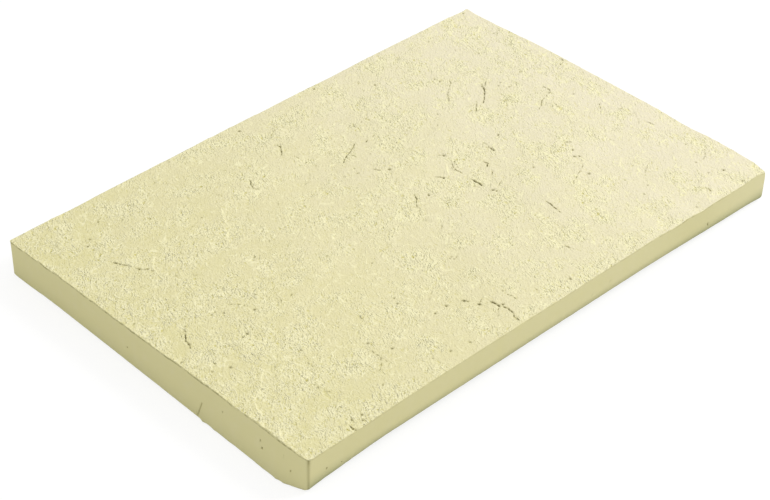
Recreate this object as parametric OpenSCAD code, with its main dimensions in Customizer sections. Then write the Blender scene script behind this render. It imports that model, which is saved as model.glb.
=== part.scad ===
// Flat kerb and coping slab in cast reconstituted stone, 60 x 40 x 4 cm, with a riven upper face.
// It lies on its flat underside. +X runs along its length and -Y is the face that shows in use.
// The origin is the middle of the underside.

/* [Slab] */
// Length between the upper arrises of the two ends
length = 600; // [450:10:720]
// Width between the upper arrises of the two long sides
width = 400; // [250:10:480]
// Height of the highest cleft plane above the underside
thickness = 40; // [34:1:80]
// Lean of the four sides, which narrows the slab towards its underside, in degrees
draft = 1; // [0:0.5:3]

/* [Riven face] */
// Height from the lowest cleft plane to the highest
relief = 3; // [0:0.2:4]
// Number of steps from the lowest cleft plane to the highest
cleft_steps = 4; // [1:1:6]
// Usual length of one cleft plane
cleft_length = 130; // [60:5:250]
// Usual breadth of one cleft plane
cleft_breadth = 70; // [40:5:150]
// How far the edges of the cleft planes wander
cleft_wander = 35; // [0:5:60]
// Direction that the cleft planes run in, from the length of the slab, in degrees
cleft_lean = 35; // [0:5:90]
// Choice of cleft pattern
cleft_seed = 11; // [1:1:99]
// Spacing of the points that carry the riven face
facet = 11; // [10:1:40]
// Fall of the riven face at its corners: front right, back right, back left, front left
corner_fall = [4, 4, 1, 2]; // [0:0.5:5]
// Distance from a corner over which the face falls
corner_fall_reach = 110; // [40:10:200]
// Wear of the very corners on top of that, in the same order
corner_wear = [2.5, 0, 0, 0]; // [0:0.5:4]
// Distance from a corner over which it is worn
corner_wear_reach = 16; // [10:1:40]

/* [Arrises] */
// Radius of the upper arris
lip_r = 0.5; // [0.5:0.1:3]
// Radii of the upright arrises: front right, back right, back left, front left
upright_r = [1, 1.5, 3, 2]; // [1:0.5:8]
// Radii that the upright arrises open out to at the underside, in the same order
foot_corner_r = [3, 3, 3, 9]; // [1:0.5:16]
// Radius of the lower arris at the ends and along the back
foot_r = 3; // [1:0.5:9]
// Radius of the front lower arris at its two ends
front_foot_r = 9; // [2:0.5:12]
// Radius of the front lower arris along its middle, where it is most worn
front_foot_mid_r = 16; // [4:0.5:20]
// Distance over which that radius changes, from the front left corner and from the front right one
front_foot_run = [100, 200]; // [40:5:220]

/* [Squeezed-out foot of the left end] */
// How far the foot of the left end stands out near the front corner
squeeze = 9.8; // [0:0.2:12]
// How strongly the stand-out gathers towards the front corner: 1 is an even growth from the back
squeeze_gather = 1.2; // [1:0.1:3]
// Distance from the front corner over which the foot comes out
squeeze_from_corner = 24; // [20:1:60]

/* [Hidden] */

stone = [0.88, 0.86, 0.67];
corner_steps = 4;
lip_steps = 2;
side_steps = 3;
foot_steps = 4;
end_crowding = 0.5;
fine_share = 0.5;
plane_gain = 1.25;
step_run = 0.3;

// Sides in the order of a walk round the slab, anticlockwise from above
FRONT = 0;
RIGHT = 1;
BACK = 2;
LEFT = 3;

along = ceil(length / facet);
across = ceil(width / facet);
rim_in = facet / 4;

function mix(a, b, t) = a + (b - a) * t;
function fade(t) = let(c = max(0, min(1, t))) c * c * (3 - 2 * c);

// Share of the way along for step i of n, with the steps closer together towards the corners
function station(i, n) = mix(i / n, (1 - cos(180 * i / n)) / 2, end_crowding);

// Length of a side, and the distance from the slab's middle to its upper arris
function run(side) = side == FRONT || side == BACK ? length : width;
function reach(side) = (side == FRONT || side == BACK ? width : length) / 2;

// A point in plan, turned from the front side to another side
function turned(p, side) =
    side == FRONT ? p
    : side == RIGHT ? [-p[1], p[0]]
    : side == BACK ? [-p[0], -p[1]]
    : [p[1], -p[0]];

// Smooth noise between 0 and 1 on a unit lattice
function lattice(i, j, layer) = rands(0, 1, 1, 911 * i + 127 * j + 31 * layer + cleft_seed)[0];
function noise(u, v, layer) =
    let(i = floor(u), j = floor(v), s = fade(u - i), t = fade(v - j))
    mix(
        mix(lattice(i, j, layer), lattice(i + 1, j, layer), s),
        mix(lattice(i, j + 1, layer), lattice(i + 1, j + 1, layer), s),
        t);

// Terraces: level planes joined by short slopes, 0 at the lowest and 1 at the highest
function terrace(n) =
    let(s = n * cleft_steps, k = floor(s))
    min(1, (k + fade((s - k - 1 + step_run) / step_run)) / cleft_steps);

// Share of the full relief at a point of the riven face
function cleft(x, y) =
    let(wander_x = cleft_wander * (2 * noise(x / cleft_breadth, y / cleft_breadth, 3) - 1),
        wander_y = cleft_wander * (2 * noise(x / cleft_breadth, y / cleft_breadth, 4) - 1),
        p = x + wander_x,
        q = y + wander_y,
        u = (p * cos(cleft_lean) + q * sin(cleft_lean)) / cleft_length,
        v = (q * cos(cleft_lean) - p * sin(cleft_lean)) / cleft_breadth,
        n = (noise(u, v, 1) + fine_share * noise(2 * u, 2 * v, 2)) / (1 + fine_share))
    terrace(plane_gain * fade(n));

// Fall of the riven face towards the corner after a side
function falling(side, x, y) =
    let(corner = turned([run(side) / 2, -reach(side)], side),
        away = norm([x, y] - corner))
    corner_fall[side] * fade(1 - away / corner_fall_reach)
        + corner_wear[side] * fade(1 - away / corner_wear_reach);

// Height of the riven face above the underside
function riven(x, y) =
    thickness - relief * (1 - cleft(x, y))
    - falling(FRONT, x, y) - falling(RIGHT, x, y) - falling(BACK, x, y) - falling(LEFT, x, y);

// Lower arris radius at share f of the way along a side
function foot(side, f) =
    side != FRONT ? foot_r
    : let(from_left = fade(f * length / front_foot_run[0]),
          from_right = fade((1 - f) * length / front_foot_run[1]))
      mix(front_foot_r, front_foot_mid_r, min(from_left, from_right));

// Stand-out of the foot, which grows along the left end from the back to near the front corner
function squeezed(side, f) =
    side != LEFT ? 0
    : squeeze * pow(f, squeeze_gather) * sin(90 * min(1, width * (1 - f) / squeeze_from_corner));

// Levels of a side from the riven face down: [part of the profile, share of that part]
LIP = 0;
FACE = 1;
FOOT = 2;
levels = concat(
    [for (k = [0:lip_steps]) [LIP, k / lip_steps]],
    [for (k = [1:side_steps]) [FACE, k / side_steps]],
    [for (k = [1:foot_steps]) [FOOT, k / foot_steps]]);

// Height and inset of one point of a side's profile, under a rim at height top
function profile(side, f, level, top) =
    let(r = foot(side, f),
        t = 90 * level[1],
        z = level[0] == LIP ? top - lip_r * (1 - cos(t))
          : level[0] == FACE ? mix(top - lip_r, r, level[1])
          : r * (1 - sin(t)),
        rounded = level[0] == LIP ? lip_r * (1 - sin(t))
                : level[0] == FOOT ? r * (1 - cos(t))
                : 0,
        lean = (thickness - max(z, r)) * tan(draft),
        out = squeezed(side, f) * (1 - z / thickness))
    [z, rounded + lean - out];

// Radius in plan of the upright arris after a side, at a level
function upright(side, level) =
    let(r = upright_r[side])
    level[0] == FOOT ? mix(r, foot_corner_r[side], 1 - cos(90 * level[1])) : r;

// Inset of a side at its start (end = 0) or finish (end = 1) at a level
function end_inset(side, end, level) =
    let(p = turned([mix(-1, 1, end) * run(side) / 2, -reach(side)], side))
    profile(side, end, level, riven(p[0], p[1]))[1];

// A point on a side at share f of its straight part
function side_point(side, f, level) =
    let(before = (side + 3) % 4,
        after = (side + 1) % 4,
        start = -run(side) / 2 + upright(before, level) + end_inset(before, 1, level),
        finish = run(side) / 2 - upright(side, level) - end_inset(after, 0, level),
        s = mix(start, finish, f),
        flat = turned([s, -reach(side)], side),
        p = profile(side, f, level, riven(flat[0], flat[1])),
        q = turned([s, -reach(side) + p[1]], side))
    [q[0], q[1], p[0]];

// A point on the upright arris after a side, at share f of the way round it
function corner_point(side, f, level) =
    let(r = upright(side, level),
        a = side_point(side, 1, level),
        b = side_point((side + 1) % 4, 0, level),
        back = turned([0, r], side),
        round = turned([r * sin(90 * f), -r * cos(90 * f)], side))
    [a[0] + back[0] + round[0], a[1] + back[1] + round[1], mix(a[2], b[2], f)];

// One closed outline of the slab at a level
function outline(level) = [
    for (side = [FRONT:LEFT])
        let(n = side == FRONT || side == BACK ? along : across)
        each concat(
            [for (i = [0:n]) side_point(side, station(i, n), level)],
            [for (k = [1:corner_steps - 1]) corner_point(side, k / corner_steps, level)])
];

// Points of the riven face inside its rim
function face_point(i, j) =
    let(x = mix(-length / 2 + rim_in, length / 2 - rim_in, station(i, along)),
        y = mix(-width / 2 + rim_in, width / 2 - rim_in, station(j, across)))
    [x, y, riven(x, y)];
function face_index(i, j) = i * (across + 1) + j;

// The edge of those points, walked as the outline is, which meets each upright arris at one point
face_edge = [
    for (i = [0:along]) face_index(i, 0),
    for (k = [1:corner_steps - 1]) face_index(along, 0),
    for (j = [0:across]) face_index(along, j),
    for (k = [1:corner_steps - 1]) face_index(along, across),
    for (i = [along:-1:0]) face_index(i, across),
    for (k = [1:corner_steps - 1]) face_index(0, across),
    for (j = [across:-1:0]) face_index(0, j),
    for (k = [1:corner_steps - 1]) face_index(0, 0)
];

// Two triangles for four corners, leaving out one that has no area
function quad(a, b, c, d) = [
    if (a != b && b != c) [a, b, c],
    if (a != d && c != d) [a, c, d]
];

// The slab in one skin: the riven face, its rim, the sides level by level, and the underside
module kerb_slab() {
    ring = len(face_edge);
    face_points = [for (i = [0:along], j = [0:across]) face_point(i, j)];
    first = len(face_points);
    side_points = [for (level = levels) each outline(level)];
    middle = first + len(side_points);
    top_faces = [
        for (i = [0:along - 1], j = [0:across - 1])
            each quad(
                face_index(i, j), face_index(i, j + 1),
                face_index(i + 1, j + 1), face_index(i + 1, j))
    ];
    rim_faces = [
        for (l = [0:ring - 1])
            let(m = (l + 1) % ring)
            each quad(first + l, face_edge[l], face_edge[m], first + m)
    ];
    side_faces = [
        for (k = [0:len(levels) - 2], l = [0:ring - 1])
            let(upper = first + k * ring, lower = upper + ring, m = (l + 1) % ring)
            each quad(upper + l, upper + m, lower + m, lower + l)
    ];
    underside = [
        for (l = [0:ring - 1])
            let(last = first + (len(levels) - 1) * ring)
            [middle, last + l, last + (l + 1) % ring]
    ];
    color(stone)
        polyhedron(
            points = concat(face_points, side_points, [[0, 0, 0]]),
            faces = concat(top_faces, rim_faces, side_faces, underside),
            convexity = 4);
}

kerb_slab();
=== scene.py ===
import math
import random

import bpy
import numpy as np
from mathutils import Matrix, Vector, noise
from mathutils.bvhtree import BVHTree


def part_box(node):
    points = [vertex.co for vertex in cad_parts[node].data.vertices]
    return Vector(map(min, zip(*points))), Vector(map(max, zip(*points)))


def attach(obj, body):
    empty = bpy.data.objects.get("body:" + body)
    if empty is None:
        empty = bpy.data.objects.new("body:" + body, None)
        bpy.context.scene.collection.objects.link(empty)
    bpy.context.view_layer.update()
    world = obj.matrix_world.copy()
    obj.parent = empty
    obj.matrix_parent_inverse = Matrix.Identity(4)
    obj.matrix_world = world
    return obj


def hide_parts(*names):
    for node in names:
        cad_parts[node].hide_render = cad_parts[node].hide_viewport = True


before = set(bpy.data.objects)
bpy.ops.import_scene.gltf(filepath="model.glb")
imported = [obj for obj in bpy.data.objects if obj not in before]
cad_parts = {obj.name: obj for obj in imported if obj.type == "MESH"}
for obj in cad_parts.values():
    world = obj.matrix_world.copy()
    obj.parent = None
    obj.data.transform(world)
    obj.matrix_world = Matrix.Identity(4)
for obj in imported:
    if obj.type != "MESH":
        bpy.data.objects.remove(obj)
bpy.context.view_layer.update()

# --- The slab -------------------------------------------------------------------------------------
# One casting of cream reconstituted stone, poured face down in a mould whose floor was taken from a
# split stone, so the riven face and the four sides are one skin. Nothing is fixed to it, and it lies
# on the side that was struck off level with the mould's rim, where a little paste squeezed out.
MM = 0.001
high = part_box("kerb_slab")[1]
half_length = high.x / MM
half_width = high.y / MM
top = high.z / MM
lip = 0.4
draft = math.radians(1.0)

# A sheet of cells a little larger than the face, whose outer edge is drawn down in courses and closed.
# The first courses turn over the lip and the last ones round the foot.
cell = 2.2
spare = 3.0
courses = 19
lip_courses = 2
foot_courses = 5
cells_long = round(2 * (half_length + spare) / cell)
cells_wide = round(2 * (half_width + spare) / cell)
bpy.ops.object.select_all(action="DESELECT")
bpy.ops.mesh.primitive_grid_add(
    x_subdivisions=cells_long, y_subdivisions=cells_wide, size=1, location=(0, 0, high.z))
slab = bpy.context.active_object
slab.name = "riven_slab"
slab.data.name = "riven_slab"
slab.scale = (2 * (half_length + spare) * MM, 2 * (half_width + spare) * MM, 1)
bpy.ops.object.transform_apply(location=True, rotation=True, scale=True)
bpy.ops.object.mode_set(mode="EDIT")
bpy.ops.mesh.select_mode(type="EDGE")
bpy.ops.mesh.select_all(action="DESELECT")
bpy.ops.mesh.select_non_manifold()
for course in range(courses):
    bpy.ops.mesh.extrude_edges_move(
        TRANSFORM_OT_translate={"value": (0, 0, -high.z / courses)})
bpy.ops.mesh.edge_face_add()
bpy.ops.mesh.select_all(action="SELECT")
bpy.ops.mesh.normals_make_consistent(inside=False)
bpy.ops.object.mode_set(mode="OBJECT")

# Breaks left in the face by the splitting: how deep, how wide, then the course. Every place on the face
# or along a side is given from the slab's middle.
breaks = (
    (1.5, 0.9, (-251, 110), (-247, 103), (-244, 97)),
    (0.8, 0.9, (-244, 97), (-240, 87), (-235, 82), (-233, 75)),
    (0.9, 0.9, (-225, 164), (-221, 170), (-215, 171)),
    (0.7, 0.7, (-199, 76), (-197, 84)),
    (0.6, 0.7, (-147, 178), (-144, 183)),
    (0.5, 0.7, (-174, 120), (-164, 127)),
    (0.5, 0.7, (-119, 79), (-112, 84)),
    (1.9, 1.0, (-29, 130), (-25, 135), (-20, 142), (-21, 146)),
    (1.4, 0.9, (-82, 104), (-86, 107), (-83, 113), (-79, 120)),
    (0.5, 0.7, (-75, 119), (-68, 123), (-62, 127)),
    (0.9, 0.9, (-49, 161), (-46, 163)),
    (0.6, 0.9, (-45, 147), (-41, 153)),
    (0.6, 0.8, (-19, 158), (-14, 162), (-8, 165), (-3, 169)),
    (2.0, 1.0, (8, 82), (12, 85), (18, 89), (26, 92), (32, 95), (38, 99)),
    (1.6, 1.0, (22, 86), (24, 82)),
    (2.0, 1.4, (48, 93), (51, 95)),
    (1.2, 0.9, (59, 95), (63, 97)),
    (0.7, 0.9, (36, 75), (37, 79)),
    (0.6, 0.8, (-43, 80), (-40, 86), (-37, 81)),
    (0.6, 0.8, (-34, 86), (-27, 92)),
    (1.1, 1.0, (20, 56), (22, 51), (24, 48)),
    (1.1, 0.7, (87, 16), (84, 12), (79, 3), (80, -5)),
    (0.8, 0.6, (90, 15), (88, 12), (83, 3)),
    (1.0, 0.6, (79, 8), (77, 1)),
    (1.1, 0.8, (56, 7), (62, 0)),
    (0.9, 0.7, (82, 30), (88, 24)),
    (0.9, 1.0, (112, 170), (116, 176)),
    (0.9, 0.8, (154, 84), (160, 91), (165, 97), (175, 104), (182, 109), (186, 115)),
    (1.9, 1.1, (180, 62), (187, 67), (193, 73), (199, 78), (203, 86)),
    (1.0, 0.8, (199, 78), (205, 83), (211, 87)),
    (1.2, 0.8, (164, 56), (170, 62), (178, 69)),
    (1.1, 0.8, (212, 16), (219, 20), (226, 25), (234, 27), (243, 29), (246, 33), (245, 41)),
    (1.0, 0.9, (231, 3), (230, 8), (232, 12)),
    (0.9, 0.9, (117, 64), (122, 68)),
    (2.2, 1.3, (130, 5), (129, -1)),
    (0.7, 1.0, (128, 5), (132, 8), (131, 15)),
    (1.2, 0.9, (284, 55), (293, 57), (298, 63)),
    (0.7, 1.0, (241, 127), (248, 134)),
    (0.7, 1.0, (230, 148), (232, 153)),
    (0.6, 0.9, (282, 140), (289, 145), (296, 151)),
    (0.6, 0.8, (180, 82), (184, 87)),
    (1.2, 0.8, (-262, -2), (-269, -10)),
    (1.9, 1.1, (-269, -10), (-274, -18), (-278, -28)),
    (1.1, 0.7, (-272, -9), (-275, -14)),
    (0.8, 0.8, (-237, -7), (-231, -5), (-226, -3)),
    (0.9, 0.8, (-216, -6), (-210, -12), (-206, -18)),
    (1.2, 0.9, (-178, -33), (-180, -36)),
    (0.6, 0.9, (-245, -99), (-239, -94)),
    (1.1, 0.9, (-142, -100), (-141, -95)),
    (1.1, 0.9, (-235, -143), (-232, -139)),
    (0.9, 0.9, (-233, -147), (-229, -152)),
    (0.9, 0.8, (-182, -161), (-177, -158), (-172, -154), (-168, -148), (-167, -136)),
    (0.6, 0.8, (-168, -149), (-166, -160)),
    (1.7, 1.2, (-246, -191), (-246, -200)),
    (0.9, 1.0, (-218, -110), (-218, -118)),
    (1.4, 0.9, (20, -1), (19, -4), (15, -9), (9, -15), (10, -19)),
    (1.5, 1.0, (6, -21), (3, -26)),
    (1.9, 1.2, (80, -20), (80, -27), (79, -34)),
    (1.1, 0.9, (92, -42), (97, -41)),
    (1.8, 1.2, (109, -6), (109, -12), (105, -15)),
    (1.1, 0.8, (98, -28), (105, -22)),
    (0.7, 0.9, (0, -57), (6, -50)),
    (0.8, 0.9, (-26, -90), (-22, -95), (-15, -92)),
    (1.5, 0.8, (103, -93), (102, -100), (101, -108)),
    (1.0, 0.8, (101, -108), (100, -114)),
    (1.6, 1.1, (-60, -141), (-56, -146)),
    (0.9, 0.7, (-53, -155), (-45, -151)),
    (2.0, 1.5, (-44, -160), (-42, -166), (-43, -172)),
    (1.1, 0.8, (-44, -171), (-49, -174), (-53, -179)),
    (1.8, 1.0, (-41, -172), (-39, -178), (-41, -186), (-44, -190), (-44, -196)),
    (1.0, 0.8, (-26, -163), (-24, -168), (-24, -174)),
    (0.8, 0.9, (-1, -173), (-1, -179)),
    (0.6, 0.8, (-81, -121), (-75, -117), (-68, -112)),
    (1.1, 1.0, (66, -150), (66, -156)),
    (1.2, 0.9, (189, -40), (193, -44)),
    (1.0, 0.8, (174, -76), (168, -80), (160, -83), (153, -86), (148, -88), (142, -92)),
    (0.9, 0.8, (128, -95), (132, -92)),
    (1.1, 0.8, (265, -17), (258, -25)),
    (0.8, 1.0, (275, -71), (277, -79)),
    (0.5, 0.8, (262, -70), (271, -64), (279, -50)),
    (0.7, 1.0, (217, -119), (209, -125)),
    (0.7, 0.9, (245, -161), (250, -155)),
    (0.7, 0.8, (235, -170), (242, -167)),
    (0.6, 0.8, (266, -148), (272, -147), (277, -142)),
    (1.5, 1.0, (234, -178), (234, -185)),
    (0.9, 0.9, (230, -174), (233, -178)),
    (0.8, 1.0, (173, -186), (170, -191)),
)

# Thin flakes that stand up from the face: how high, then the course of the edge
flakes = (
    (0.5, (-233, 70), (-230, 79), (-223, 88), (-218, 93)),
    (0.7, (-127, 105), (-136, 91), (-140, 81)),
    (0.5, (-146, 75), (-152, 66)),
    (0.4, (-155, 60), (-153, 69), (-142, 76)),
    (0.5, (-272, 22), (-266, 35), (-265, 42)),
    (0.6, (68, 0), (73, 8), (79, 15)),
    (0.6, (27, 157), (35, 166)),
    (0.4, (-93, 7), (-87, 17)),
    (0.4, (-207, -18), (-207, -30), (-203, -38)),
    (0.6, (-252, -93), (-260, -99), (-268, -107)),
    (0.7, (-268, -107), (-278, -114), (-284, -116), (-289, -125), (-294, -135), (-299, -146)),
    (0.5, (-277, -132), (-280, -137)),
    (0.7, (-287, -148), (-294, -158), (-299, -170)),
    (0.5, (-192, -113), (-200, -124)),
    (0.5, (-259, -35), (-263, -38)),
    (0.5, (-271, -42), (-278, -53), (-285, -65)),
    (0.4, (-152, -118), (-149, -108), (-145, -99)),
    (0.4, (198, -112), (200, -100), (212, -92)),
    (0.5, (254, 118), (258, 133), (252, 142)),
    (0.5, (264, 158), (275, 160), (286, 166)),
    (0.4, (16, -78), (18, -92)),
    (0.4, (42, -112), (42, -128)),
    (0.5, (-248, -176), (-243, -186), (-250, -198)),
    (0.4, (-283, -118), (-279, -105)),
)

# Small holes in the face, by place, width and depth
face_holes = (
    (-240, 87, 2.6, 1.4), (-245, 152, 2.4, 1.3), (-253, 145, 2.8, 1.5), (-262, 98, 2.0, 0.9),
    (-205, 155, 2.0, 0.9), (-186, 138, 2.0, 0.9), (-153, 30, 2.2, 1.1), (-127, 39, 2.6, 0.9),
    (-292, 31, 2.2, 1.2), (-223, 57, 2.0, 0.8), (-256, 66, 1.8, 0.8), (-283, 68, 1.8, 0.8),
    (-165, 102, 2.0, 0.9), (-150, 107, 1.8, 0.9), (-31, 190, 2.8, 1.6), (73, 195, 2.8, 1.6),
    (75, 122, 2.2, 1.1), (76, 118, 2.0, 1.0), (68, 121, 2.0, 0.9), (-18, 107, 2.2, 1.1),
    (8, 68, 2.4, 0.9), (5, 60, 2.2, 0.9), (31, 44, 3.2, 1.6), (87, 26, 3.0, 1.6),
    (61, 1, 3.2, 1.7), (-8, 65, 2.2, 0.7), (17, 168, 2.6, 0.8), (95, 81, 2.4, 1.1),
    (124, 159, 2.6, 1.6), (175, 125, 2.6, 1.2), (176, 118, 2.6, 1.2), (152, 15, 2.8, 1.6),
    (220, 64, 2.4, 1.3), (219, 76, 2.4, 1.0), (213, 73, 2.2, 1.0), (248, 75, 2.4, 1.1),
    (258, 12, 2.4, 0.9), (132, 79, 2.0, 1.0), (285, 96, 2.8, 1.0), (285, 147, 2.8, 0.9),
    (291, 197, 2.6, 1.4), (139, 186, 2.6, 0.9), (222, 180, 2.2, 0.8), (-226, -12, 2.6, 1.3),
    (-204, -27, 3.0, 1.7), (-236, -48, 2.6, 1.2), (-230, -47, 3.2, 1.6), (-218, -53, 2.2, 1.1),
    (-296, -37, 2.6, 1.2), (-277, -58, 2.4, 1.1), (-285, -64, 2.4, 1.0), (-270, -70, 2.6, 1.5),
    (-190, -12, 2.4, 1.1), (-167, -34, 2.4, 1.0), (-211, -95, 2.4, 1.1), (-105, -14, 2.4, 1.1),
    (-162, -126, 2.6, 1.1), (-152, -146, 3.0, 1.7), (-239, -187, 2.4, 1.2), (-229, -189, 2.8, 1.2),
    (-233, -194, 2.6, 1.3), (-191, -175, 2.6, 1.2), (-118, -183, 2.4, 1.2), (-136, -180, 2.2, 0.9),
    (-97, -186, 2.4, 1.1), (-104, -104, 2.6, 1.5), (-101, -97, 2.2, 1.1), (-281, -180, 2.2, 1.0),
    (30, -10, 2.8, 1.6), (74, -28, 2.6, 0.9), (82, -44, 2.8, 1.6), (83, -48, 2.8, 1.6),
    (46, -33, 2.4, 0.9), (-81, -48, 2.4, 0.9), (-22, -91, 2.4, 0.9), (-53, -155, 2.8, 1.7),
    (-39, -170, 2.8, 1.8), (-75, -136, 2.8, 1.6), (-90, -137, 2.6, 1.4), (33, -186, 2.4, 1.2),
    (-25, -157, 2.2, 1.0), (135, -47, 2.4, 1.2), (177, -62, 2.8, 1.6), (181, -65, 2.6, 1.5),
    (184, -54, 2.6, 1.4), (167, -90, 2.8, 1.5), (274, -38, 2.4, 1.0), (274, -121, 2.4, 1.1),
    (196, -139, 2.2, 1.1), (182, -146, 2.2, 1.0), (258, -147, 2.4, 0.9), (269, -172, 2.6, 1.4),
    (255, -165, 2.6, 0.9), (205, -192, 2.4, 0.9), (270, -195, 2.4, 1.1), (186, -119, 2.0, 0.9),
)

# Air holes that the vibrated mix left in the left end and in the front: where along the side, how high
# above the ground, how wide
end_holes = (
    (-148, 19, 1.9), (-145, 25, 1.2), (-161, 28, 1.2), (-173, 26.5, 1.6), (-182, 16, 1.5),
    (-97, 25, 0.9), (96, 24, 1.1), (30, 17, 1.0),
)
front_holes = (
    (-279, 15.5, 1.9), (-294, 32, 1.4), (-262, 12, 1.1), (-236, 27, 1.1), (-203, 34, 1.4),
    (-141, 27, 1.3), (-88, 33, 1.2), (-70, 19, 1.1), (-13, 31, 1.1), (12, 14, 1.2),
    (50, 20, 2.4), (74, 21, 1.4), (86, 35, 1.4), (215, 15, 1.7), (151, 24, 1.0),
)

# Many small marks, most of them across the slab and towards the left end, which was torn roughest
small_break_count = 60
marked_length = 292
marked_width = 192
marks = random.Random(5)
small_breaks = []
while len(small_breaks) < small_break_count:
    x = marks.uniform(-marked_length, marked_length)
    y = marks.uniform(-marked_width, marked_width)
    if marks.random() < 0.35 + 0.65 * (marked_length - x) / (2 * marked_length):
        heading = math.radians(marks.gauss(-78, 32))
        run = marks.uniform(2.0, 6.5)
        bend = marks.uniform(-0.5, 0.5)
        middle = (x + run * math.cos(heading), y + run * math.sin(heading))
        finish = (
            middle[0] + run * math.cos(heading + bend), middle[1] + run * math.sin(heading + bend))
        small_breaks.append((marks.uniform(0.25, 0.65), 0.8, (x, y), middle, finish))
breaks = breaks + tuple(small_breaks)

# A short crack that runs down the left end to its foot, as distance along the end and height
end_crack = ((-71, 18), (-69, 11), (-67, 3))


def smooth(t):
    """Eased share: 0 below 0, 1 above 1."""
    t = np.clip(t, 0.0, 1.0)
    return t * t * (3.0 - 2.0 * t)


def hump(place, middle, run):
    """1 in the middle, falling away evenly over a run to both sides."""
    return np.exp(-((place - middle) / run) ** 2)


def from_course(x, y, course):
    """Distance from a course, how far along it the nearest point is, its run, and how far beside it.

    The last is positive on the side towards the front right corner.
    """
    nearest = np.full(x.shape, 1e9)
    along = np.zeros(x.shape)
    beside = np.zeros(x.shape)
    travelled = 0.0
    for (ax, ay), (bx, by) in zip(course[:-1], course[1:]):
        run = math.hypot(bx - ax, by - ay)
        share = np.clip(((x - ax) * (bx - ax) + (y - ay) * (by - ay)) / run ** 2, 0.0, 1.0)
        distance = np.hypot(x - ax - share * (bx - ax), y - ay - share * (by - ay))
        away = ((x - ax) * (by - ay) - (y - ay) * (bx - ax)) / run
        away = away if bx - ax + by - ay > 0 else -away
        closer = distance < nearest
        nearest = np.where(closer, distance, nearest)
        along = np.where(closer, travelled + share * run, along)
        beside = np.where(closer, away, beside)
        travelled += run
    return nearest, along, travelled, beside


# The cells along the breaks and round the holes are cut finer, twice where they are deep. Each round
# has its reach and the least depth that it is made for.
face_hole_room = 0.4
side_hole_room = 1.2
mesh = slab.data
bpy.context.tool_settings.mesh_select_mode = (False, False, True)
for reach, least in ((2.2, 0.5), (1.2, 0.7)):
    centres = np.empty(len(mesh.polygons) * 3)
    mesh.polygons.foreach_get("center", centres)
    x, y, z = centres.reshape(-1, 3).T / MM
    finer = np.zeros(len(x), bool)
    on_face = z > top - 0.1
    on_end = x < -half_length
    on_front = y < -half_width
    for depth, width, *course in breaks:
        if depth >= least:
            finer |= on_face & (from_course(x, y, course)[0] < reach)
    for rise, *course in flakes:
        if rise >= 0.5 * least:
            finer |= on_face & (from_course(x, y, course)[0] < reach)
    for hole_x, hole_y, width, depth in face_holes:
        if depth >= least:
            finer |= on_face & (np.hypot(x - hole_x, y - hole_y) < reach + face_hole_room)
    for along, up, width in end_holes:
        finer |= on_end & (np.hypot(y - along, z - up) < reach + side_hole_room)
    for along, up, width in front_holes:
        finer |= on_front & (np.hypot(x - along, z - up) < reach + side_hole_room)
    finer |= on_end & (from_course(y, z, end_crack)[0] < reach)
    mesh.vertices.foreach_set("select", np.zeros(len(mesh.vertices), bool))
    mesh.edges.foreach_set("select", np.zeros(len(mesh.edges), bool))
    mesh.polygons.foreach_set("select", finer)
    bpy.ops.object.mode_set(mode="EDIT")
    bpy.ops.mesh.subdivide(number_cuts=1)
    bpy.ops.object.mode_set(mode="OBJECT")

# Where each point of the plain block lies, before it is worked. A hair is the slack in comparisons.
hair = 0.01
block = np.empty(len(mesh.vertices) * 3)
mesh.vertices.foreach_get("co", block)
block = block.reshape(-1, 3) / MM
level = (top - block[:, 2]) / (top / courses)
on_face = level < hair
on_side = (np.abs(block[:, 0]) > half_length + spare - hair) | (
    np.abs(block[:, 1]) > half_width + spare - hair)


def crowded(place, half, crowding=6.0):
    """Draws the cells in from the spare rim, closer together towards the arrises."""
    inside = half + spare - np.abs(place)
    inset = inside - spare * (1.0 - np.exp(-inside / crowding))
    return np.sign(place) * (half - inset)


plain_x = crowded(block[:, 0], half_length)
plain_y = crowded(block[:, 1], half_width)

# Radii of the upright arrises, which open out at the underside, most of all in front. The front right
# one is worn round at its top. A foot may not be drawn in by more than its corner's radius, or it folds.
left = plain_x < 0
front = plain_y < 0
worn = 2.2 * hump(level, 0, 4.0)
upright_r = np.where(left, np.where(front, 2.0, 3.0), np.where(front, 1.0 + worn, 2.5))
foot_corner_r = np.where(left & front, 9.1, np.where(front, 8.8, 4.2))
foot_share = np.clip((level - courses + foot_courses) / foot_courses, 0.0, 1.0)
foot_turned = np.where(left & front, foot_share, 1.0 - np.cos(foot_share * math.pi / 2))
corner_r = upright_r + (foot_corner_r - upright_r) * foot_turned

# Each ring of points inside the outline turns its corners on a smaller radius, down to none. The angle
# of a point's normal is 0 on the long sides and a right angle on the ends.
ring = np.minimum(half_length - np.abs(plain_x), half_width - np.abs(plain_y))
to_end = half_length - ring - np.abs(plain_x)
to_side = half_width - ring - np.abs(plain_y)
along_side = to_side <= to_end
turn_r = np.maximum(corner_r - ring, 1e-6)
run_in = np.where(along_side, to_end, to_side)
angle = math.pi / 4 * np.clip(1 - run_in / turn_r, 0.0, 1.0)
turning = angle > 0
angle = np.where(along_side, angle, math.pi / 2 - angle)
normal_x = np.sin(angle) * np.sign(plain_x)
normal_y = np.cos(angle) * np.sign(plain_y)
body_x = np.where(
    turning, np.sign(plain_x) * (half_length - corner_r) + turn_r * normal_x, plain_x)
body_y = np.where(
    turning, np.sign(plain_y) * (half_width - corner_r) + turn_r * normal_y, plain_y)
end_share = angle / (math.pi / 2)

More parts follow.
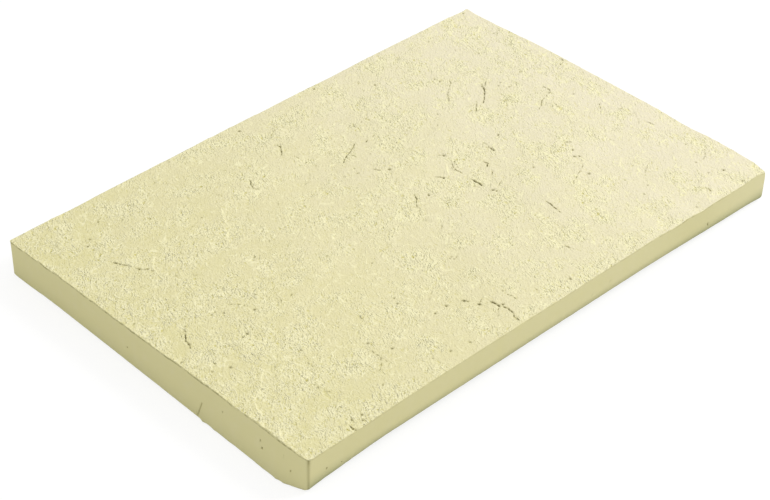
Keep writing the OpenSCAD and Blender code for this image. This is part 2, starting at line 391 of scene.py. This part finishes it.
# The riven face of the model, taken off its skin on a coarse net and eased so no facet shows
skin = BVHTree.FromObject(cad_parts["kerb_slab"], bpy.context.evaluated_depsgraph_get())
net = 4.0
clear_of_lip = 6
easings = 8
net_x = np.arange(-half_length, half_length + net, net)
net_y = np.arange(-half_width, half_width + net, net)
ground = np.zeros((len(net_x), len(net_y)))
for i, x in enumerate(np.clip(net_x, clear_of_lip - half_length, half_length - clear_of_lip)):
    for j, y in enumerate(np.clip(net_y, clear_of_lip - half_width, half_width - clear_of_lip)):
        hit = skin.ray_cast(Vector((x * MM, y * MM, 1.0)), Vector((0, 0, -1)))
        ground[i, j] = hit[0].z / MM
for easing in range(easings):
    for axis in (0, 1):
        wide = np.pad(ground, 1, mode="edge")
        before = wide[:-2, 1:-1] if axis == 0 else wide[1:-1, :-2]
        after = wide[2:, 1:-1] if axis == 0 else wide[1:-1, 2:]
        ground = (before + 2 * ground + after) / 4


def grown(x, y, size, layer, octaves=1):
    """Even noise from about -1 to 1, whose lumps are about a size across."""
    found = np.empty(x.shape)
    for n, (p, q) in enumerate(zip(x / size, y / size)):
        place = Vector((p, q, 7.3 * layer))
        found[n] = noise.fractal(place, 1.0, 2.0, octaves) if octaves > 1 else noise.noise(place)
    return found


# Height of each upper arris, and its low places: where along the side, how far they run, how deep
front_height = 38.9
back_height = 38.7
right_height = 39.9
left_height = 38.4
front_low = (
    (-300, 95, 2.2), (-240, 30, 1.0), (30, 45, 0.5), (165, 16, 2.0), (204, 14, 2.6), (232, 16, 1.6),
    (216, 40, 0.8), (262, 24, 3.2), (300, 24, 1.6))
back_low = (
    (-300, 50, 0.8), (-228, 22, 1.0), (-170, 150, 0.8), (100, 30, 0.6), (232, 38, 0.8),
    (300, 24, 2.4))
right_low = ((-200, 50, 2.2), (-100, 26, 2.2), (137, 34, 1.8), (190, 40, 3.4))
left_low = ((-200, 40, 1.7), (-115, 30, 0.8), (20, 60, 1.0), (150, 20, 0.4), (200, 34, 1.1))


def arris(place, low_places, full):
    """Height of an upper arris along its side."""
    height = np.full(place.shape, full)
    for middle, run, fall in low_places:
        height -= fall * hump(place, middle, run)
    return height


# The face follows the model's, but near the arrises it follows them. Points of the sides take their
# height from the arris straight above.
arris_hold = 14.0
face_hold = 0.05
u = np.clip((body_x + half_length) / net, 0, len(net_x) - 1.001)
v = np.clip((body_y + half_width) / net, 0, len(net_y) - 1.001)
i = u.astype(int)
j = v.astype(int)
s = u - i
t = v - j
height = (
    ground[i, j] * (1 - s) * (1 - t) + ground[i + 1, j] * s * (1 - t)
    + ground[i, j + 1] * (1 - s) * t + ground[i + 1, j + 1] * s * t)
total = height * face_hold
weight = np.full(len(block), face_hold)
for inset, line in (
        (half_width + body_y, arris(body_x, front_low, front_height)),
        (half_width - body_y, arris(body_x, back_low, back_height)),
        (half_length - body_x, arris(body_y, right_low, right_height)),
        (half_length + body_x, arris(body_y, left_low, left_height))):
    hold = np.exp(-np.maximum(inset, 0) / arris_hold)
    total += line * hold
    weight += hold
height = total / weight

# The front right corner is knocked down, and the back right one was left a little high
to_front_right = np.hypot(half_length - body_x, half_width + body_y)
to_back_right = np.hypot(half_length - body_x, half_width - body_y)
height = height - 3.2 * hump(to_front_right, 0, 10.0)
height = height + 0.8 * hump(to_back_right, 0, 7.0)

# The face swells a little, and is rough in wandering patches, most of all towards the left end. Calm
# places are given by their middle, how far they run both ways, and how calm they are.
calm_places = ((-106, -45, 45, 40, 0.30), (225, -100, 85, 55, 0.34))
wander_x = body_x + 6.0 * grown(body_x, body_y, 14.0, 1, 2)
wander_y = body_y + 6.0 * grown(body_x, body_y, 14.0, 2, 2)
height = height + 0.13 * grown(wander_x, wander_y, 26.0, 3, 2)
calm = np.zeros(len(block))
for calm_x, calm_y, long_run, wide_run, share in calm_places:
    calm = calm + share * hump(body_x, calm_x, long_run) * hump(body_y, calm_y, wide_run)
torn_end = 0.34 * smooth((-100 - body_x) / 170)
rough = smooth(0.42 + torn_end - calm + 0.9 * grown(wander_x, wander_y, 30.0, 4, 3))

# Grit of the face, coarser where the flakes tore than on the cleft planes
grit = 0.75 * grown(body_x, body_y, 7.5, 7, 2) + grown(body_x, body_y, 4.6, 8)
height = height + np.where(on_face, (0.03 + 0.18 * rough) * grit, 0)


def scooped(x, y, size, layer):
    """Shallow scoops about a size across, which meet in sharp crests."""
    found = np.empty(x.shape)
    for n, (p, q) in enumerate(zip(x / size, y / size)):
        distances = noise.voronoi(Vector((p, q, 3.1 * layer)))[0]
        found[n] = distances[1] - distances[0]
    return found


stirred_x = body_x + 4.0 * grown(body_x, body_y, 7.0, 15, 2)
stirred_y = body_y + 4.0 * grown(body_x, body_y, 7.0, 16, 2)
scoops = scooped(stirred_x, stirred_y, 13.0, 1)
crests = hump(scoops, 0, 0.13) * smooth(0.5 + 2.2 * grown(body_x, body_y, 11.0, 17))
height = height + np.where(on_face, (0.08 + 0.46 * rough) * crests, 0)

# A thin lip stands up here and there along the left arris
lifted = smooth(0.55 + 1.4 * grown(body_x, body_y, 11.0, 18, 2))
height = height + 0.7 * lifted * np.exp(-np.maximum(half_length + body_x, 0) / 1.6)


def near_course(course, room):
    """Which points of the face lie within this room round a course."""
    span = np.array(course, float)
    return on_face & (
        (body_x > span[:, 0].min() - room) & (body_x < span[:, 0].max() + room)
        & (body_y > span[:, 1].min() - room) & (body_y < span[:, 1].max() + room))


# A break wanders off its course, comes and goes, and the ground beside it towards the front right
# corner stands a little higher
broad_break = 1.3
groove_width = 0.47
groove_depth = 0.85
side_rise = 0.28
hole_width = 0.38
jitter_x = body_x + 0.8 * grown(body_x, body_y, 3.0, 5) + 0.5 * grown(body_x, body_y, 8.0, 11)
jitter_y = body_y + 0.8 * grown(body_x, body_y, 3.0, 6) + 0.5 * grown(body_x, body_y, 8.0, 12)
waning = smooth(0.60 + 2.4 * grown(body_x, body_y, 2.7, 13))
# How deep each point lies in a break or hole, which the material darkens as painted shade
cut = np.zeros(len(block))
stain = np.zeros(len(block))
flake_highlight = np.zeros(len(block))
for depth, width, *course in breaks:
    near = near_course(course, 14)
    distance, along, run, beside = from_course(jitter_x[near], jitter_y[near], course)
    ends = smooth((along + 1.5) / 3.5) * smooth((run - along + 1.5) / 3.5)
    wane = 1.0 - (0.9 if depth < broad_break else 0.65) * (1.0 - waning[near])
    groove = hump(distance, 0, groove_width * width) * ends * wane
    lift = smooth(0.5 + beside / 1.6) * np.exp(-distance / 5.0) * ends
    height[near] += side_rise * depth * lift - groove_depth * depth * groove
    cut[near] = np.maximum(cut[near], groove * min(1.0, depth / 1.5))
    stain[near] = np.maximum(stain[near], hump(distance, 0, 1.3) * min(1.0, depth / 1.6))
for hole_x, hole_y, width, depth in face_holes:
    near = on_face & (np.hypot(body_x - hole_x, body_y - hole_y) < 8)
    distance = np.hypot(jitter_x[near] - hole_x, jitter_y[near] - hole_y)
    hole = hump(distance, 0, hole_width * width)
    height[near] -= depth * hole
    cut[near] = np.maximum(cut[near], hole * min(1.0, depth / 1.7))
    stain[near] = np.maximum(stain[near], 0.6 * hump(distance, 0, 1.7))

# A flake rises slowly towards the front right to its edge, and drops off sharply beyond it
flake_rise = 1.2
for rise, *course in flakes:
    near = near_course(course, 12)
    distance, along, run, beside = from_course(jitter_x[near], jitter_y[near], course)
    ends = smooth((along + 1.0) / 5.0) * smooth((run - along + 1.0) / 5.0)
    crisp = hump(distance, 0, 0.9)
    edge = 0.3 * crisp + smooth(0.5 - beside / 1.3) * np.exp(-distance / 5.0)
    height[near] += flake_rise * rise * edge * ends
    # The flake's crest is marked for a painted highlight
    flake_highlight[near] = np.maximum(flake_highlight[near], crisp * ends * rise / 0.7)

# Radius of the foot: most worn along the middle of the front, and drawn sharper or rounder at corners
plain_foot_r = 3.0
front_foot_r = 9.0
front_foot_mid_r = 16.0
wear_from_left = 100.0
wear_from_right = 200.0
front_share = np.minimum(
    smooth((half_length + plain_x) / wear_from_left),
    smooth((half_length - plain_x) / wear_from_right))
front_foot = front_foot_r + (front_foot_mid_r - front_foot_r) * front_share
for corner_x in (-half_length, half_length):
    front_foot = front_foot - 1.8 * hump(plain_x, corner_x, 14.0)
end_foot = plain_foot_r + 0.3 * np.where(left & front, hump(plain_y, -half_width, 22.0), 0)
end_foot = end_foot - 2.0 * np.where(left & ~front, hump(plain_y, half_width, 25.0), 0)
end_foot = end_foot + 3.5 * np.where(~left & front, hump(plain_y, -half_width, 35.0), 0)
foot_r = np.where(front, front_foot, plain_foot_r) * (1 - end_share) + end_foot * end_share

# Paste squeezed out under the left end, which grows from the back to near the front corner
squeeze = 9.8
squeeze_gather = 1.2
squeeze_start = 3
squeeze_run = 34
from_front = np.clip(half_width + plain_y, 0, None)
swelling = np.sin(np.clip((from_front - squeeze_start) / squeeze_run, 0, 1) * math.pi / 2)
gathered = np.clip(1 - from_front / (2 * half_width), 0, 1) ** squeeze_gather
squeezed = np.where(left, squeeze * gathered * swelling, 0.0) * end_share

# Profile of the sides: the lip, the leaning face, whose courses crowd under it, and the rounded foot
course_crowding = 1.6
side_courses = courses - lip_courses - foot_courses
lip_turn = np.clip(level / lip_courses, 0, 1) * math.pi / 2
foot_turn = foot_share * math.pi / 2
face_share = np.clip((level - lip_courses) / side_courses, 0, 1) ** course_crowding
profile_z = np.where(
    level <= lip_courses, height - lip * (1 - np.cos(lip_turn)),
    np.where(
        foot_share <= 0, (height - lip) * (1 - face_share) + foot_r * face_share,
        foot_r * (1 - np.sin(foot_turn))))
rounded = np.where(
    level <= lip_courses, lip * (1 - np.sin(lip_turn)),
    np.where(foot_share > 0, foot_r * (1 - np.cos(foot_turn)), 0.0))
lean = (top - np.maximum(profile_z, foot_r)) * math.tan(draft)
inset = rounded + np.maximum(lean, 0) - squeezed * (1 - profile_z / top)

# The skin of the sides is nearly true, and a little torn along the upper arris and the foot. The paste
# at the left foot has lobes: where along the end, how far they run and how far they stand out.
foot_lobes = (
    (-177, 2.5, 1.4), (-168, 2.5, 1.0), (-150, 6, 0.8), (-105, 7, 0.8), (-88, 4, 1.1),
    (-74, 2.5, 2.2), (172, 24, 1.4))
torn = grown(body_x + 0.5 * body_y, body_y - 0.5 * body_x, 7.0, 9, 3)
sway = grown(body_x, body_y, 60.0, 10)
pimples = grown(body_x + body_y, profile_z, 6.0, 14, 2)
inset = inset + 0.12 * sway + 0.07 * pimples + 0.6 * torn * np.exp(-level) + 0.35 * torn * foot_share
below_arris = height - profile_z
left_groove = 0.3 * hump(below_arris, 1.2, 0.9) * end_share * left
back_left_ear = 0.5 * np.exp(-below_arris / 2.0) * left * ~front * hump(body_y, half_width, 9.0)
front_right_bulge = (
    0.7 * (~left) * front * hump(body_y, -half_width, 40.0) * end_share * smooth(level / 8))
inset = inset + left_groove - back_left_ear - front_right_bulge
for middle, run, swell in foot_lobes:
    lobe = swell * hump(plain_y, middle, run) * foot_share * end_share
    inset = inset - np.where(left, lobe, 0)

# Air holes are sunk square into their side, and the crack is cut down the left end
air_hole_depth = 1.4
crack_depth = 0.8
on_front_side = on_side & front & (end_share < hair)
on_left_end = on_side & left & (end_share > 1 - hair)
sunk = np.zeros(len(block))
for side, along_it, holes in (
        (on_front_side, body_x, front_holes), (on_left_end, body_y, end_holes)):
    for along, up, width in holes:
        distance = np.hypot(along_it - along, profile_z - up)
        hole = smooth(1.4 - distance / (0.42 * width))
        sunk = np.maximum(sunk, np.where(side, hole, 0))
distance = from_course(body_y + 0.6 * torn, profile_z, end_crack)[0]
crack = 0.55 * hump(distance, 0, 0.7) * on_left_end
inset = inset + air_hole_depth * sunk + crack_depth * crack
# The air holes and the crack also take painted shade
cut = np.maximum(cut, np.maximum(sunk, crack))

# The front left upright arris lost a chip near its top, and is darker down its edge and at the chip
chip_depth = 0.9
darkening_width = 1.5
corner_turn = np.where(left & front & on_side, hump(end_share, 0.6, 0.4) * turning, 0)
inset = inset + chip_depth * hump(below_arris, 3.5, 2.2) * corner_turn
edge_darkening = on_side * (
    hump(body_x, 0.6 - half_length, darkening_width) * hump(body_y, 0.4 - half_width, darkening_width))
dark_edge = 0.6 * edge_darkening * (1 - 0.7 * foot_share) + 0.6 * hump(below_arris, 3.0, 2.4) * edge_darkening

# The two sides that show in use are marked for the painted shade on them, the front most near its right
# end, where it is also stained
left_side = on_side * left * end_share
front_side = on_side * front * (1 - end_share) * (1 + 0.9 * hump(body_x, 190, 50))

# The face meets the rim of the sides, and everything goes to its place
tallest_flake = 0.8
face_inset = lip * np.exp(-ring / 8.0) + 0.4 * torn * np.exp(-ring / 2.0)
shift = np.where(on_side, inset, face_inset)
final = np.stack([
    body_x - shift * normal_x,
    body_y - shift * normal_y,
    np.where(on_side, profile_z, height)], axis=1)
final[:, 2] = np.clip(final[:, 2], 0.0, top + tallest_flake)
mesh.vertices.foreach_set("co", (final * MM).ravel())
mesh.update()

# What the material needs to know of each point: how rough, how deep in a break or hole, how dark
point_marks = {
    "riven": on_face, "rough_ground": rough * on_face, "break_depth": cut,
    "stain": stain * on_face, "flake_highlight": flake_highlight * on_face, "dark_edge": dark_edge,
    "below_arris": below_arris * on_side, "left_side": left_side, "front_side": front_side}
for name, values in point_marks.items():
    layer = mesh.attributes.new(name, "FLOAT", "POINT")
    layer.data.foreach_set("value", values.astype(np.float32))
bpy.ops.object.select_all(action="DESELECT")
slab.select_set(True)
bpy.context.view_layer.objects.active = slab
bpy.ops.object.shade_smooth_by_angle(angle=math.radians(40))

# The underside is one flat face, struck off level, and takes none of the marks of the sides. It is the
# only face that is larger than a quarter of the slab.
quarter_slab = half_length * half_width * MM ** 2
beneath = mesh.attributes.new("beneath", "FLOAT", "FACE")
for polygon in mesh.polygons:
    if polygon.area > quarter_slab:
        polygon.use_smooth = False
        beneath.data[polygon.index].value = 1.0


# Cast stone: cream, dry and matt, with a sandy grain on the riven face and a close skin on the sides
class Wire:
    """A socket that adds its maths as nodes."""

    def __init__(self, tree, socket):
        self.tree = tree
        self.socket = socket

    def maths(self, operation, a, b):
        return node(self.tree, "ShaderNodeMath", {"operation": operation}, [a, b])[0]

    def __add__(self, other):
        return self.maths("ADD", self, other)

    def __radd__(self, other):
        return self.maths("ADD", other, self)

    def __sub__(self, other):
        return self.maths("SUBTRACT", self, other)

    def __rsub__(self, other):
        return self.maths("SUBTRACT", other, self)

    def __mul__(self, other):
        return self.maths("MULTIPLY", self, other)

    def __rmul__(self, other):
        return self.maths("MULTIPLY", other, self)

    def __truediv__(self, other):
        return self.maths("DIVIDE", self, other)

    def held(self):
        """Kept between 0 and 1."""
        return node(self.tree, "ShaderNodeClamp", {}, {"Value": self})["Result"]


def node(tree, kind, settings, inputs):
    """Adds a node: its settings come first, then the values or links of its sockets."""
    made = tree.nodes.new(kind)
    for key, value in settings.items():
        setattr(made, key, value)
    named = inputs.items() if isinstance(inputs, dict) else enumerate(inputs)
    for key, value in named:
        socket = made.inputs[key]
        if kind == "ShaderNodeMix":
            socket = [open_socket for open_socket in made.inputs if open_socket.enabled][key]
        if isinstance(value, Wire):
            tree.links.new(value.socket, socket)
        else:
            socket.default_value = value
    outputs = {}
    for number, socket in enumerate([s for s in made.outputs if s.enabled]):
        outputs[socket.name] = outputs[number] = Wire(tree, socket)
    return outputs


cast_stone = bpy.data.materials.new("cast_stone")
cast_stone.use_nodes = True
tree = cast_stone.node_tree
tree.nodes.clear()
place = node(tree, "ShaderNodeTexCoord", {}, {})["Object"]
parts = node(tree, "ShaderNodeSeparateXYZ", {}, [place])


def mark(name):
    """What the skin carries under this name."""
    return node(tree, "ShaderNodeAttribute", {"attribute_name": name}, {})["Fac"]


riven = mark("riven")
rough_ground = mark("rough_ground")
break_depth = mark("break_depth")
stain = mark("stain")
flake_highlight = mark("flake_highlight")
dark_edge = mark("dark_edge")
below_arris = mark("below_arris")
open_air = 1.0 - mark("beneath")
left_side = mark("left_side") * (1.0 - riven) * open_air
front_side = mark("front_side") * (1.0 - riven) * open_air


def cloud(scale, detail, roughness=0.5):
    """Even noise between 0 and 1, with so many lumps to the metre."""
    return node(tree, "ShaderNodeTexNoise", {}, {
        "Vector": place, "Scale": scale, "Detail": detail, "Roughness": roughness})[0]


def mixed(factor, a, b):
    """One colour where the factor is 0, the other where it is 1."""
    return node(tree, "ShaderNodeMix", {"data_type": "RGBA"}, [factor, a, b])[0]


# The grain runs in short curling streaks, which lie across the slab more often than along it
curl_size = 0.006
streak_heading = math.radians(62)
curl = node(tree, "ShaderNodeTexNoise", {}, {"Vector": place, "Scale": 90.0, "Detail": 0.0})["Color"]
curled = node(tree, "ShaderNodeVectorMath", {"operation": "MULTIPLY_ADD"}, [
    curl, (curl_size, curl_size, curl_size), place])[0]
streaked = node(tree, "ShaderNodeMapping", {"vector_type": "TEXTURE"}, {
    "Vector": curled, "Rotation": (0, 0, streak_heading), "Scale": (1.35, 0.85, 1.0)})[0]


def streaks(scale):
    """The same noise, drawn out and curled."""
    return node(tree, "ShaderNodeTexNoise", {}, {"Vector": streaked, "Scale": scale, "Detail": 0.0})[0]


def curls(scale, thinness, share):
    """Thin curving crests, broken into short runs."""
    swing = (streaks(scale) - 0.5) / thinness
    kept = ((cloud(scale * 1.9, 0.0) - share) * 7.0).held()
    return (1.0 - swing * swing).held() * kept


def dots(scale, reach, share):
    """Dots of a few sizes on some of the cells of a scattered pattern."""
    cells = node(tree, "ShaderNodeTexVoronoi", {"feature": "F1"}, {
        "Vector": place, "Scale": scale, "Randomness": 1.0})
    chosen = ((cells["Color"] - share) * 5.0).held()
    return (1.0 - cells["Distance"] / reach).held() * chosen


# Height of the grain, in shares of its depth: lumps, crumbs, nicks and crests, pores and grains
grain_depth = 0.0011
patchy = ((cloud(52.0, 2.0, 0.55) - 0.40) * 4.0).held()
coarse = (0.30 + rough_ground * (0.38 + patchy * 0.38) + patchy * 0.12) * riven
lumps = streaks(260.0)
crumbs = streaks(560.0)
marked = streaks(330.0)
nick = ((0.30 - marked) * 10.0).held()
crest = ((marked - 0.70) * 10.0).held()
wide_curl = curls(80.0, 0.030, 0.46)
fine_curl = curls(150.0, 0.045, 0.46)
pit = dots(230.0, 0.34, 0.50)
grain = dots(270.0, 0.36, 0.50)
relief = (
    (lumps - 0.5) * 0.9 + (crumbs - 0.5) * 1.7 - pit * 0.4 + grain * 0.5
    + crest * 0.8 - nick * 0.3 + wide_curl * 0.20 + fine_curl * 0.18) * coarse
relief = relief + wide_curl * riven * 0.05
bump = node(tree, "ShaderNodeBump", {}, {
    "Strength": 1.0, "Distance": grain_depth, "Height": relief})["Normal"]

# Cream, paler towards the right end as painted light, the sides darker partly as painted shade, and the
# hollows darker as painted shade
face_cream = (0.748, 0.694, 0.358, 1)
face_pale = (0.818, 0.752, 0.568, 1)
# The sides' cream is darker than the face's, partly as painted shade
skin_cream = (0.712, 0.665, 0.350, 1)
skin_pale = (0.730, 0.680, 0.412, 1)
highlight_cream = (0.930, 0.880, 0.552, 1)
stained_cream = (0.66, 0.62, 0.27, 1)
front_shade_cream = (0.66, 0.615, 0.33, 1)
shaded_olive = (0.66, 0.598, 0.165, 1)
shaded_foot_grey = (0.36, 0.372, 0.19, 1)
shade = (0.14, 0.118, 0.010, 1)
# Painted light: the cream pales towards the right end, where the lamp falls strongest
painted_light_to_right = ((parts["X"] + high.x) / (2 * high.x)).held()
mottle = cloud(24.0, 3.0, 0.55)
blotch = cloud(90.0, 2.0, 0.5)
speck = cloud(760.0, 0.0)
tone_and_painted_light = (painted_light_to_right + (mottle - 0.5) * 0.50 + (blotch - 0.5) * 0.28).held()
skin_tone_and_painted_light = (tone_and_painted_light + (blotch - 0.5) * 1.2).held()
colour = mixed(
    riven, mixed(skin_tone_and_painted_light, skin_cream, skin_pale), mixed(tone_and_painted_light, face_cream, face_pale))
# Painted highlight: crests, grains, curls and flake edges are paler, as where the light catches them, and
# rough ground is paler overall
painted_highlight = (grain * 0.6 + crest * 1.6 + (speck - 0.62) * 1.4 + 0.35 + coarse * 0.58) * coarse
painted_highlight = painted_highlight + wide_curl * (coarse * 0.9 + riven * 0.3) + fine_curl * coarse * 0.8 + flake_highlight * 0.8
colour = mixed(painted_highlight.held(), colour, highlight_cream)
colour = mixed((stain * (mottle - 0.15) * 0.4).held(), colour, stained_cream)
# Painted shade: the hollows of the grain are darker and more olive, as where shade falls in them
painted_hollow_shade = pit * 0.6 + nick * 0.6 + (0.46 - lumps) * 1.0 + (0.48 - crumbs) * 1.4 + (0.42 - speck) * 1.4
colour = mixed((painted_hollow_shade * coarse).held(), colour, shaded_olive)
# Painted shade: the front is a darker cream than the other sides
colour = mixed((front_side * 0.5).held(), colour, front_shade_cream)


def near_ground(reach):
    """1 at the ground, falling to 0 at this height."""
    return (1.0 - parts["Z"] / reach).held()


# Painted shade: the sides darken and grey towards the ground, the front most, where its foot rounds
# under; thin broken lines of painted shade run under the upper arrises and along the foot
painted_foot_shade = near_ground(0.021)
painted_foot_shade = painted_foot_shade * painted_foot_shade * (front_side.held() * 0.86 + 0.14) * (0.75 + mottle * 1.9) * open_air
colour = mixed(painted_foot_shade.held(), colour, shaded_foot_grey)
# Painted shade: a thin line under the upper arrises, most on the left end, and a contact shadow along the
# foot
from_line = (below_arris - 1.0) / 0.95
under_arris_shade = (1.0 - from_line * from_line).held() * (left_side * 0.62 + front_side * 0.16)
foot_contact_shade = near_ground(0.0026) * left_side * 0.35 + near_ground(0.0065) * front_side * 0.35
painted_line_shade = (under_arris_shade + foot_contact_shade) * ((cloud(150.0, 2.0, 0.6) - 0.36) * 4.0).held()
# Painted shade: breaks, holes and the crack are darkened towards the shade colour
colour = mixed((break_depth + dark_edge * 0.55 + painted_line_shade).held() * open_air, colour, shade)
dryness = (0.84 + 0.1 * mottle).held()
surface = node(tree, "ShaderNodeBsdfPrincipled", {}, {
    "Base Color": colour, "Roughness": dryness, "Normal": bump, "IOR": 1.45,
    "Specular IOR Level": 0.4})["BSDF"]
node(tree, "ShaderNodeOutputMaterial", {}, {"Surface": surface})
slab.data.materials.clear()
slab.data.materials.append(cast_stone)

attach(slab, "root")
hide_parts("kerb_slab")

# --- The studio -----------------------------------------------------------------------------------
# A plain white floor that runs out of sight, an even white room, and one large soft lamp high up beyond
# the front right corner. Floor and room show as white while the stone is lit at a plain level.
bpy.ops.object.select_all(action="DESELECT")
bpy.ops.mesh.primitive_plane_add(size=14, location=(0, 0, 0))
floor = bpy.context.active_object
floor.name = "studio_floor"
paper = bpy.data.materials.new("studio_paper")
paper.use_nodes = True
tree = paper.node_tree
tree.nodes.clear()
plain_white = (1, 1, 1, 1)
paper_white = (0.85, 0.85, 0.84, 1)
faint_grey = (0.24, 0.24, 0.24, 1)
glow_strength = 0.80


def looked_at(tree):
    """1 for the camera, a mirror or glass, and 0 for the light that reaches the stone."""
    rays = node(tree, "ShaderNodeLightPath", {}, {})
    through = node(tree, "ShaderNodeMath", {"operation": "MAXIMUM"}, [
        rays["Is Glossy Ray"], rays["Is Transmission Ray"]])[0]
    return node(tree, "ShaderNodeMath", {"operation": "MAXIMUM"}, [rays["Is Camera Ray"], through])[0]


lit = node(tree, "ShaderNodeBsdfDiffuse", {}, {"Color": paper_white})["BSDF"]
faint = node(tree, "ShaderNodeBsdfDiffuse", {}, {"Color": faint_grey})["BSDF"]
glow = node(tree, "ShaderNodeEmission", {}, {"Color": plain_white, "Strength": glow_strength})["Emission"]
white = node(tree, "ShaderNodeAddShader", {}, [faint, glow])[0]
either = node(tree, "ShaderNodeMixShader", {}, [looked_at(tree), lit, white])[0]
node(tree, "ShaderNodeOutputMaterial", {}, {"Surface": either})
floor.data.materials.append(paper)

world = bpy.data.worlds.new("studio_room")
bpy.context.scene.world = world
world.use_nodes = True
tree = world.node_tree
tree.nodes.clear()
room_strength = 0.77
room = node(tree, "ShaderNodeBackground", {}, {
    "Color": plain_white, "Strength": room_strength})["Background"]
backdrop = node(tree, "ShaderNodeBackground", {}, {
    "Color": plain_white, "Strength": 1.0})["Background"]
either = node(tree, "ShaderNodeMixShader", {}, [looked_at(tree), room, backdrop])[0]
node(tree, "ShaderNodeOutputWorld", {}, {"Surface": either})

bpy.ops.object.light_add(type="AREA", location=(1.82, -1.05, 2.06))
lamp = bpy.context.active_object
lamp.name = "soft_lamp"
lamp.data.shape = "SQUARE"
lamp.data.size = 1.0
lamp.data.energy = 33.0
lamp.rotation_euler = (Vector((0, 0, 0)) - lamp.location).to_track_quat("-Z", "Y").to_euler()

# --- The camera -----------------------------------------------------------------------------------
# It looks down on the slab from beyond the front left corner, with a long lens.
camera_data = bpy.data.cameras.new("camera")
camera = bpy.data.objects.new("camera", camera_data)
bpy.context.scene.collection.objects.link(camera)
camera_data.sensor_width = 36.0
camera_data.lens = 103.791
camera.location = (-1.19736, -1.16780, 1.26692)
camera.rotation_euler = (math.radians(52.474), math.radians(-1.233), math.radians(-44.384))
bpy.context.scene.camera = camera
bpy.context.scene.view_settings.view_transform = "Standard"
